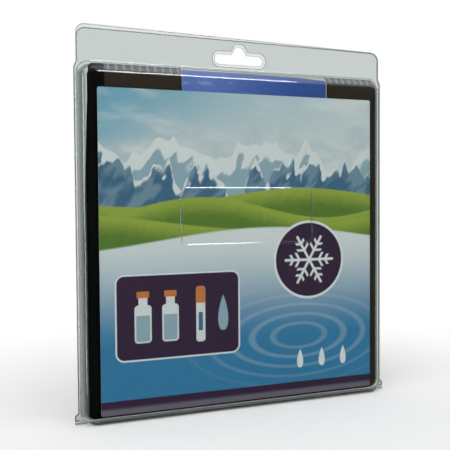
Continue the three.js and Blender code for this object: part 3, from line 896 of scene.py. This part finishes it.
def make_front_shell(shell, finishes):
    """Dome with rounded edges, flange, header with hang slot, and a plain raised frame on the face."""
    bm = bmesh.new()
    flange = PARTING - shell.gap / 2 - shell.sheet
    level = FRONT_LOW.y + shell.rib_rise
    depth = PARTING - level
    base = dome_ring(shell, PARTING - flange + shell.fillet, depth)
    face = outline(bm, rounded(-base[1], base[1], base[2], base[3], shell.corner), base[0], shell.steps)
    rings = []
    for step in range(shell.steps + 1):
        reach = depth - shell.edge_round * (1.0 - math.sin(step / shell.steps * math.pi / 2))
        rings.append(dome_ring(shell, reach, depth))
    rim, face = loft_forward(bm, face, base, rings)
    # Painted shade: the rounds at the dome's foot take the darker finish
    for bend in bm.faces:
        if bend.calc_center_median().z < shell.foot_round and bend is not face:
            bend.material_index = SHADE_FINISH
    foot = REAR_LOW.z
    rim = [edge for edge in rim if min(vert.co.z for vert in edge.verts) > foot]
    rim = base_fillet(bm, shell, rim, base)
    ends = {v for edge in rim for v in edge.verts if sum(v in other.verts for other in rim) == 1}
    left, right = sorted(ends, key=lambda v: v.co.x)

    # The flange is open at the foot, where the dome comes down to the hinge
    edge = cut_sheet(bm, shell, FRONT_HIGH.z, shell.header_fall, flange)
    behind = flange - 0.1 * MM
    low = foot + 2 * shell.cut
    sill = [
        e for e in bm.edges
        if e.calc_length() > shell.lip and all(v.co.z < low and v.co.y > behind for v in e.verts)
    ]
    ear_left, ear_right = sorted(max(sill, key=lambda e: e.verts[0].co.z).verts, key=lambda v: v.co.x)
    bmesh.ops.delete(bm, geom=sill, context="EDGES_FACES")
    edge = [e for e in edge if e.is_valid]
    links = [bm.edges.new((ear_left, left)), bm.edges.new((ear_right, right))]
    fill_between(bm, rim + edge + links + punch_slot(bm, shell, 0.0, flange))

    border = drop_face(bm, face)
    half_width, half_height = shell.frame_width / 2, shell.frame_height / 2
    corners = rounded(
        shell.frame_shift - half_width, shell.frame_shift + half_width,
        shell.frame_middle - half_height, shell.frame_middle + half_height, shell.frame_corner,
    )
    plate = outline(bm, corners, level, shell.steps)
    fill_between(bm, border + list(plate.edges))
    flank = [(step * shell.rib, rise * shell.rib_rise) for step, rise in FLANK_ROWS]
    raise_rib(bm, plate, shell.rib, flank)
    turn_forward(bm, max(bm.faces, key=BMFace.calc_area))
    finish_shell("clear_front_shell", bm, finishes, "front", "front_shell", shell, sharp=15.0)


def make_rear_shell(shell, finishes):
    """Flat lid with its header and smaller slot, and a closing ridge that is hollow from behind."""
    bm = bmesh.new()
    level = PARTING + shell.gap / 2
    edge = cut_sheet(bm, shell, REAR_HIGH.z, shell.rear_fall, level)
    slot = punch_slot(bm, shell, shell.rear_inset, level)
    half = shell.ridge_half
    corners = rounded(-half, half, shell.ridge_foot, shell.ridge_top, shell.ridge_corner)
    panel = outline(bm, corners, level, shell.steps)
    fill_between(bm, edge + slot + list(panel.edges))
    # Painted shade: the ridge takes the lid's darker finish
    raise_rib(bm, panel, shell.ridge, [(shell.ridge_flank, level - REAR_LOW.y)], SHADE_FINISH)
    turn_forward(bm, max(bm.faces, key=BMFace.calc_area))
    steep = math.radians(40)
    bends = [e for e in bm.edges if e.is_manifold and e.calc_face_angle() > steep]
    bmesh.ops.bevel(
        bm, geom=bends, offset=shell.ridge_bend, segments=2, profile=0.5, affect="EDGES", material=-1
    )
    finish_shell("clear_rear_shell", bm, finishes, "lid", "rear_shell", shell, sharp=35.0)


def fullness(edge, border):
    """How far a soft form has swelled at a distance from its seam, from 0 to 1."""
    return math.sqrt(max(0.0, 1.0 - (1.0 - min(edge / border, 1.0)) ** 2))


def soft_panel(low, high, border, seam, corners, cells, lump, seed, lean=0.0, mouth=0.0):
    """Cloth form in a box, full in the middle and thin at its seam. A mouth leaves its top open behind."""
    bm = bmesh.new()
    middle = (low + high) / 2
    half = (high - low) / 2
    rims = []
    for side in (-1.0, 1.0):
        shut = side < 0 or mouth == 0.0
        top = half.z if shut else half.z - mouth
        verts = bmesh.ops.create_grid(bm, x_segments=cells[0], y_segments=cells[1], size=1.0)["verts"]
        reach = max(abs(v.co.x) for v in verts)
        lip = {v for v in verts if mouth and v.co.y > 0.999 * reach}
        for vert in verts:
            x = half.x * math.sin(vert.co.x / reach * math.pi / 2)
            z = (half.z + top) / 2 * (1.0 + math.sin(vert.co.y / reach * math.pi / 2)) - half.z
            edge = min(half.x - abs(x), half.z - abs(z) if shut else half.z + z)
            radius = corners[1] if z > 0 else corners[0]
            dx = (abs(x) - half.x + radius) / radius
            dz = (abs(z) - half.z + radius) / radius
            if dx > 0 and dz > 0:
                x = math.copysign(half.x - radius + radius * dx * math.sqrt(1 - dz * dz / 2), x)
                z = math.copysign(half.z - radius + radius * dz * math.sqrt(1 - dx * dx / 2), z)
            full = fullness(edge, border)
            wrinkle = noise.noise(Vector((x * WRINKLES, z * WRINKLES, seed + side)))
            pucker = noise.noise(Vector((x * PUCKERS, z * PUCKERS, seed + side * 3.0))) * (1.0 - full)
            depth = seam / 2 + (half.y - seam / 2) * full - lump * full * (0.5 + 0.5 * wrinkle)
            slack = 0.5 + 0.5 * noise.noise(Vector((x * SLACK, z * SLACK, seed + 9.0)))
            pull = 1.0 - lump * 2.0 * slack * (1.0 - full) / max(half.x, half.z)
            back = lean * (1.0 - min((half.z - z) / border, 1.0)) ** 2 if shut else 0.0
            vert.co = Vector((
                middle.x + x * pull,
                middle.y + side * (depth - lump * 0.5 * abs(pucker)) + back,
                middle.z + z * pull,
            ))
        own = set(verts)
        rims += [
            e for e in bm.edges if e.is_boundary and e.verts[0] in own and not lip.issuperset(e.verts)
        ]
    bmesh.ops.bridge_loops(bm, edges=rims)
    turn_forward(bm, min(bm.faces, key=lambda face: face.calc_center_median().y))
    return bm


def soft_piece(name, node, finish, body, slot, **form):
    """Cloth piece in the place of a flat node, with the node's flat size."""
    low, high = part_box(node)
    piece = add_piece(name, soft_panel(low, high, **form), [finish], body, [node], SMOOTH)
    return piece, flat_size(low, high)


def stitch_row(bm, start, end, cloth, lift):
    """Row of short stitches along a line."""
    start = Vector(start)
    along = Vector(end) - start
    count = max(1, int(along.length / (cloth.stitch + cloth.stitch_gap)))
    pitch = along.length / count
    turn = along.to_track_quat("X", "Y").to_matrix().to_4x4()
    stitch = turn @ Matrix.Diagonal((cloth.stitch / 2, cloth.thread, cloth.thread, 1.0))
    for rank in range(count):
        at = start + along.normalized() * pitch * (rank + 0.5) + Vector((0.0, lift, 0.0))
        bmesh.ops.create_icosphere(bm, subdivisions=1, radius=1.0, matrix=Matrix.Translation(at) @ stitch)


def edge_stitches(name, low, high, level, lift, cloth, body, finish):
    """Stitch rows beside the left, right and lower edge of a panel."""
    bm = bmesh.new()
    left, right = low.x + cloth.row, high.x - cloth.row
    foot, top = low.z + cloth.row, high.z - cloth.row
    rows = (
        ((left, level, foot), (left, level, top)),
        ((right, level, foot), (right, level, top)),
        ((left + cloth.row_end, level, foot), (right - cloth.row_end, level, foot)),
    )
    for start, end in rows:
        stitch_row(bm, start, end, cloth, lift)
    return add_piece(name, bm, [finish], body, (), SMOOTH)


class PACK_OT_front_shell(bpy.types.Operator):
    """Builds the clear front shell"""

    bl_idname = "hang_pack.front_shell"
    bl_label = "Front shell"

    def execute(self, context):
        colours = context.scene.pack_colours
        finishes = [
            clear_finish("clear_sheet", colours.clear, colours.wall_shade),
            # The second finish paints shade on cut edges, slot lines, the fillet's bend and the foot
            clear_finish("cut_edge", colours.cut, colours.cut),
        ]
        make_front_shell(context.scene.pack_shell, finishes)
        return {"FINISHED"}


class PACK_OT_rear_shell(bpy.types.Operator):
    """Builds the clear lid and dresses the hinge"""

    bl_idname = "hang_pack.rear_shell"
    bl_label = "Rear shell and hinge"

    def execute(self, context):
        colours = context.scene.pack_colours
        finishes = [
            clear_finish("clear_lid", colours.clear, colours.lid_wall_shade),
            # The second finish paints shade on the lid's cut edges, its slot line, its ridge and the hinge
            clear_finish("lid_cut_edge", colours.lid_cut, colours.lid_cut),
        ]
        make_rear_shell(context.scene.pack_shell, finishes)
        # Painted shade: the clear hinge takes the lid's darker finish, so it shows as a dark line
        dress_node("hinge_web", finishes[SHADE_FINISH])
        return {"FINISHED"}


class PACK_OT_card(bpy.types.Operator):
    """Prints the card"""

    bl_idname = "hang_pack.card"
    bl_label = "Card"

    def execute(self, context):
        dress_node("front_card", card_print(context.scene.pack_colours))
        return {"FINISHED"}


class PACK_OT_leaflet(bpy.types.Operator):
    """Builds the folded leaflet behind the card"""

    bl_idname = "hang_pack.leaflet"
    bl_label = "Leaflet"

    def execute(self, context):
        finish = leaflet_print(context.scene.pack_colours)
        bm = bmesh.new()
        middle = (LEAFLET_LOW.y + LEAFLET_HIGH.y) / 2
        foot, bend = LEAFLET_LOW.z, LEAFLET_HIGH.z - LEAF_TOP
        for rank, radius in enumerate(LEAF_BENDS):
            tuck = rank * 0.3 * MM
            base = foot + rank * 0.4 * MM
            left = LEAFLET_LOW.x + radius + tuck
            right = LEAFLET_HIGH.x - rank * 0.5 * MM
            front = bm.verts.new((right, middle - radius, base))
            start = bm.verts.new((left, middle - radius, base))
            bm.edges.new((front, start))
            spun = bmesh.ops.spin(
                bm, geom=[start], cent=(left, middle, foot), axis=(0.0, 0.0, 1.0), angle=-math.pi, steps=6
            )["geom_last"]
            last = pick(BMVert, spun)[0]
            bm.edges.new((last, bm.verts.new((right - 0.4 * MM, middle + radius, last.co.z))))
            fold = [e for e in bm.edges if not e.link_faces]
            for back, up in ((0.0, bend - foot - tuck), *LEAF_CURL):
                raised = bmesh.ops.extrude_edge_only(bm, edges=fold)["geom"]
                fold = pick(BMEdge, raised)
                bmesh.ops.translate(bm, verts=pick(BMVert, raised), vec=(0.0, back, up))
        bmesh.ops.recalc_face_normals(bm, faces=bm.faces)
        piece = add_piece("folded_leaflet", bm, [finish], "front", ["instruction_leaflet"])
        thicken(piece, context.scene.pack_cloth.paper, 0.0)
        return {"FINISHED"}


class PACK_OT_case(bpy.types.Operator):
    """Builds the cloth case and its stitches"""

    bl_idname = "hang_pack.case"
    bl_label = "Cloth case"

    def execute(self, context):
        cloth = context.scene.pack_cloth
        colours = context.scene.pack_colours
        thread = thread_finish("sewing_thread", colours.thread)
        low = COVER_LOW - Vector((cloth.ease, 0.0, cloth.sag))
        high = Vector((COVER_HIGH.x, COVER_HIGH.y, FOLD_HIGH.z + cloth.rise))
        bm = soft_panel(
            low, high, border=cloth.border, seam=cloth.seam, corners=(cloth.corner, cloth.top_corner),
            cells=(84, 86), lump=0.12 * MM, seed=2.0, lean=cloth.lean, mouth=cloth.mouth,
        )
        panels = ["front_panel", "back_panel", "gusset_left", "gusset_right", "gusset_bottom"]
        case = add_piece(
            "case_cover", bm, [case_finish(colours, cloth)], "front",
            ["cover_" + panel for panel in panels], SMOOTH,
        )
        thicken(case, cloth.wall, -1.0)
        half = (high.y - low.y) / 2
        level = high.y - half + cloth.seam / 2 + (half - cloth.seam / 2) * fullness(cloth.row, cloth.border)
        stitches = edge_stitches("case_stitches", low, high, level, 0.0, cloth, "front", thread)
        middle = (low.z + high.z) / 2
        for vert in (*case.data.vertices, *stitches.data.vertices):
            share = max(0.0, vert.co.z - middle) / (high.z - middle)
            vert.co.x -= cloth.draw * share * min(vert.co.x, 0.0) / abs(low.x)
        return {"FINISHED"}


class PACK_OT_flap(bpy.types.Operator):
    """Builds the flap, its fold, its label and its closing tapes"""

    bl_idname = "hang_pack.flap"
    bl_label = "Flap"

    def make_fold(self, cloth, woven):
        """Strip over the mouth, from the top of the case to the flap."""
        bm = bmesh.new()
        reach, height = FOLD_ROUTE[0]
        ends = [bm.verts.new((x, PARTING - reach * MM, height * MM)) for x in (FOLD_LOW.x, FOLD_HIGH.x)]
        row = [bm.edges.new(ends)]
        for reach, height in FOLD_ROUTE[1:]:
            drawn = bmesh.ops.extrude_edge_only(bm, edges=row)["geom"]
            row = pick(BMEdge, drawn)
            for vert in pick(BMVert, drawn):
                vert.co.y = PARTING - reach * MM
                vert.co.z = height * MM
        bmesh.ops.recalc_face_normals(bm, faces=bm.faces)
        bmesh.ops.solidify(bm, geom=list(bm.faces), thickness=cloth.fold)
        fold = add_piece("mouth_fold", bm, [woven], None, ["cover_mouth_fold"], SMOOTH)
        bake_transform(fold)
        return fold

    def execute(self, context):
        cloth = context.scene.pack_cloth
        colours = context.scene.pack_colours
        woven = woven_finish("cover_cloth", colours.cloth, colours.cloth_high, cloth.weave)
        thread = bpy.data.materials["sewing_thread"]
        fold = self.make_fold(cloth, woven)
        flap, flat = soft_piece(
            "flap_cloth", "cover_flap", woven, "flap", "cover_cloth", border=1.6 * MM, seam=0.34 * MM,
            corners=(cloth.flap_corner, 2.0 * MM), cells=(70, 40), lump=0.04 * MM, seed=5.0,
        )
        stitches = edge_stitches(
            "flap_stitches", FLAP_LOW, FLAP_HIGH, FLAP_HIGH.y, -0.02 * MM, cloth, "flap", thread
        )
        # The dimmed ground paints shade in the weave's hollows
        satin = woven_finish("label_cloth", dimmed(colours.label, 0.5), colours.label, 0.5 * MM)
        label, flat = soft_piece(
            "plain_label", "flap_label", satin, "flap", "label_cloth", border=0.8 * MM, seam=0.06 * MM,
            corners=(0.8 * MM, 0.8 * MM), cells=(24, 14), lump=0.01 * MM, seed=7.0,
        )
        for name, node, body, rest, pitch in (
            ("hook_tape", "flap_hook_tape", "flap", "flap_cloth", 0.9 * MM),
            ("loop_tape", "cover_loop_tape", "front", "case_cover", 0.6 * MM),
        ):
            pile = pile_finish(name + "_pile", colours.cloth, colours.label, pitch)
            tape, flat = soft_piece(
                name, node, pile, body, "closing_tape", border=1.0 * MM, seam=0.2 * MM,
                corners=(1.0 * MM, 1.0 * MM), cells=(40, 14), lump=0.02 * MM, seed=8.0,
            )
        return {"FINISHED"}


class PACK_OT_pouch(bpy.types.Operator):
    """Builds the cooling pouch inside the case"""

    bl_idname = "hang_pack.pouch"
    bl_label = "Cooling pouch"

    def make_binding(self, node, tape):
        """Tape folded round an edge of the pouch."""
        width, height = flat_size(*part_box(node))
        binding, _ = soft_piece(
            node.replace("pouch", "soft"), node, tape, "front", "binding_cloth",
            border=0.9 * MM, seam=1.0 * MM, corners=(0.8 * MM, 0.8 * MM),
            cells=(60, 6) if width > height else (6, 60), lump=0.05 * MM, seed=4.0,
        )
        return binding

    def make_ply(self, node, toward, lining, seams, cloth):
        """Cloth ply, drawn towards the gel along the sewn lines between its rows."""
        low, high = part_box(node)
        width, height = flat_size(low, high)
        bm = bmesh.new()
        verts = bmesh.ops.create_grid(bm, x_segments=40, y_segments=110, size=0.5)["verts"]
        reach = max(v.co.x for v in verts)
        for vert in verts:
            x = low.x + (0.5 + vert.co.x / reach / 2) * width
            z = low.z + (0.5 + vert.co.y / reach / 2) * height
            nearest = min(abs(z - seam) for seam in seams)
            dip = cloth.quilt * math.exp(-(nearest / cloth.quilt_reach) ** 2)
            ease = cloth.ply_ease * noise.noise(Vector((x * 70.0, z * 70.0, low.y * 900.0)))
            vert.co = Vector((x, (low.y + high.y) / 2 + toward * dip + ease, z))
        bmesh.ops.recalc_face_normals(bm, faces=bm.faces)
        name = node.replace("pouch", "quilted")
        ply = add_piece(name, bm, [lining], "front", [node], SMOOTH)
        thicken(ply, cloth.ply, 0.0)
        return ply, (width, height)

    def make_crystals(self, node, gel, chance, cloth):
        """Scattered dry crystals of one row."""
        low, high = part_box(node)
        border = cloth.grain_border
        bm = bmesh.new()
        for _ in range(cloth.grains):
            wide = chance.uniform(cloth.grain_least, cloth.grain_most)
            tall = chance.uniform(cloth.grain_least, cloth.grain_most)
            x = chance.uniform(low.x + border, high.x - border)
            z = chance.uniform(low.z + border, high.z - border)
            turn = Matrix.Rotation(chance.uniform(0.0, math.pi), 4, "Y")
            at = Matrix.Translation((x, (low.y + high.y) / 2, z))
            grain = at @ turn @ Matrix.Diagonal((wide, cloth.grain_flat, tall, 1.0))
            bmesh.ops.create_icosphere(bm, subdivisions=1, radius=1.0, matrix=grain)
        name = node.replace("gel_row", "crystals")
        add_piece(name, bm, [gel], "front", [node], sharp=20.0)

    def execute(self, context):
        cloth = context.scene.pack_cloth
        colours = context.scene.pack_colours
        # The dimmed ground paints shade in the weave's hollows
        lining = woven_finish("pouch_cloth", dimmed(colours.lining, 0.5), colours.lining, 0.8 * MM)
        tape = woven_finish("binding_cloth", colours.cloth, colours.label, 0.6 * MM)
        gel = gel_finish(colours)
        chance = random.Random(GRAIN_SEED)
        rows = sorted(name for name in frame["nodes"] if "gel_row" in name)
        bands = [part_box(name) for name in rows if name.startswith("front")]
        seams = [(below[1].z + above[0].z) / 2 for below, above in zip(bands, bands[1:])]
        sides = ("left", "right", "bottom")
        bindings = [self.make_binding("pouch_binding_" + side, tape) for side in sides]
        for node, toward, rest, on_it in (
            ("pouch_front_outer_ply", 1.0, "case_cover", bindings),
            ("pouch_front_inner_ply", -1.0, "quilted_front_outer_ply", []),
            ("pouch_back_inner_ply", 1.0, "quilted_front_inner_ply", []),
            ("pouch_back_outer_ply", -1.0, "quilted_back_inner_ply", []),
        ):
            ply, flat = self.make_ply(node, toward, lining, seams, cloth)
        for node in rows:
            self.make_crystals(node, gel, chance, cloth)
        return {"FINISHED"}


class PACK_OT_stage(bpy.types.Operator):
    """Sets the floor, the lamps, the world and the camera"""

    bl_idname = "hang_pack.stage"
    bl_label = "Stage"

    def lay_floor(self, scene, stage):
        """Pale paper that goes over into white away from the pack."""
        bm = bmesh.new()
        bmesh.ops.create_grid(bm, x_segments=2, y_segments=2, size=4.0)
        mesh = bpy.data.meshes.new("floor")
        bm.to_mesh(mesh)
        bm.free()
        matte = new_finish("floor_paper")
        x, y, _ = matte.place()
        grain = matte.mottle(x / 4.0, y / 4.0, 0.0)
        paper = matte.principled({
            "Base Color": matte.layer(grain * 0.04, stage.floor, (0.8, 0.8, 0.8)), "Roughness": 0.9,
        })
        away = matte.rise(matte.math("SQRT", x ** 2.0 + y ** 2.0), 70.0, 300.0)
        glow = matte.node("ShaderNodeEmission", None, {"Color": WHITE, "Strength": 1.0}).outputs[0]
        mesh.materials.append(matte.surface(matte.blend(matte.seen() * away, paper, glow)))
        floor = bpy.data.objects.new("floor", mesh)
        floor.location.z = -0.02 * MM
        floor.visible_glossy = False
        scene.collection.objects.link(floor)

    def hang_lamps(self, scene, stage):
        """Two lamps that light the pack, and two that only show in its gloss."""
        for name, power, width, height, at in (
            ("key_lamp", stage.key, 1.2, 1.2, (-1.00, -0.60, 0.80)),
            ("fill_lamp", stage.fill, 1.6, 1.6, (0.60, -0.45, 1.25)),
            ("brow_lamp", stage.brow, 0.40, 0.16, (0.27, -0.72, 0.74)),
            ("rim_lamp", stage.rim, 0.22, 1.20, (-1.30, -0.35, 0.25)),
        ):
            lamp = bpy.data.lights.new(name, "AREA")
            lamp.shape = "RECTANGLE"
            lamp.energy = power
            lamp.size = width
            lamp.size_y = height
            holder = bpy.data.objects.new(name, lamp)
            holder.location = at
            aim = Vector((0.0, 0.0, 0.1)) - Vector(at)
            holder.rotation_euler = aim.to_track_quat("-Z", "Y").to_euler()
            holder.visible_diffuse = name not in ("brow_lamp", "rim_lamp")
            holder.visible_glossy = name != "key_lamp"
            scene.collection.objects.link(holder)

    def light_world(self, scene, stage):
        """White round the object, with a dark room in front of it for the gloss of the face."""
        scene.world = bpy.data.worlds.new("studio")
        room = Finish(scene.world)
        across, along, up = room.axes("Generated")
        ahead = room.rise(along, -0.40, -0.75)
        level = room.rise(abs(up), 0.75, 0.45)
        left = room.rise(across, -0.5, -0.9)
        high = room.rise(up, 0.40, 0.65)
        seen = room.seen()
        gloss = room.ray("Is Glossy Ray")
        shown = gloss * (1.0 - ahead * level) * (1.0 + left) * (1.0 - 0.8 * high) * stage.mirror
        strength = seen + shown + (1.0 - room.most(seen, gloss)) * stage.ambient
        light = room.node("ShaderNodeBackground", None, {"Color": WHITE, "Strength": strength})
        room.surface(light.outputs[0])

    def set_camera(self, scene, stage):
        camera = bpy.data.cameras.new("camera")
        camera.lens = stage.lens
        camera.sensor_width = 36.0
        camera.clip_start = 0.01
        holder = bpy.data.objects.new("camera", camera)
        pitch, roll, heading = stage.aim
        holder.matrix_world = (
            Matrix.Translation(stage.eye)
            @ Matrix.Rotation(heading, 4, "Z")
            @ Matrix.Rotation(pitch, 4, "X")
            @ Matrix.Rotation(roll, 4, "Z")
        )
        scene.collection.objects.link(holder)
        scene.camera = holder

    def execute(self, context):
        scene = context.scene
        for step in (self.lay_floor, self.hang_lamps, self.light_world, self.set_camera):
            step(scene, scene.pack_stage)
        scene.view_settings.view_transform = "Standard"
        return {"FINISHED"}


class PACK_PT_sidebar(bpy.types.Panel):
    """Lists the pieces of the hang pack"""

    bl_idname = "PACK_PT_sidebar"
    bl_label = "Hang pack"
    bl_space_type = "VIEW_3D"
    bl_region_type = "UI"
    bl_category = "Hang Pack"

    def draw(self, context):
        for operator in OPERATORS:
            self.layout.operator(operator.bl_idname)
        for name in GROUPS:
            group = getattr(context.scene, name)
            box = self.layout.box()
            for field in group.__annotations__:
                box.prop(group, field)


GROUPS = {
    "pack_shell": ShellSizes,
    "pack_cloth": ClothSizes,
    "pack_colours": Colours,
    "pack_stage": StageSettings,
}
OPERATORS = (
    PACK_OT_front_shell,
    PACK_OT_rear_shell,
    PACK_OT_card,
    PACK_OT_leaflet,
    PACK_OT_case,
    PACK_OT_flap,
    PACK_OT_pouch,
    PACK_OT_stage,
)


def register():
    for kind in (*GROUPS.values(), *OPERATORS, PACK_PT_sidebar):
        bpy.utils.register_class(kind)
    for name, kind in GROUPS.items():
        setattr(bpy.types.Scene, name, PointerProperty(type=kind))


def unregister():
    for name in GROUPS:
        delattr(bpy.types.Scene, name)
    for kind in (PACK_PT_sidebar, *OPERATORS, *GROUPS.values()):
        bpy.utils.unregister_class(kind)


def main():
    register()
    bpy.ops.hang_pack.front_shell()
    bpy.ops.hang_pack.rear_shell()
    bpy.ops.hang_pack.card()
    bpy.ops.hang_pack.leaflet()
    bpy.ops.hang_pack.case()
    bpy.ops.hang_pack.flap()
    bpy.ops.hang_pack.pouch()
    bpy.ops.hang_pack.stage()


if __name__ == "__main__":
    main()
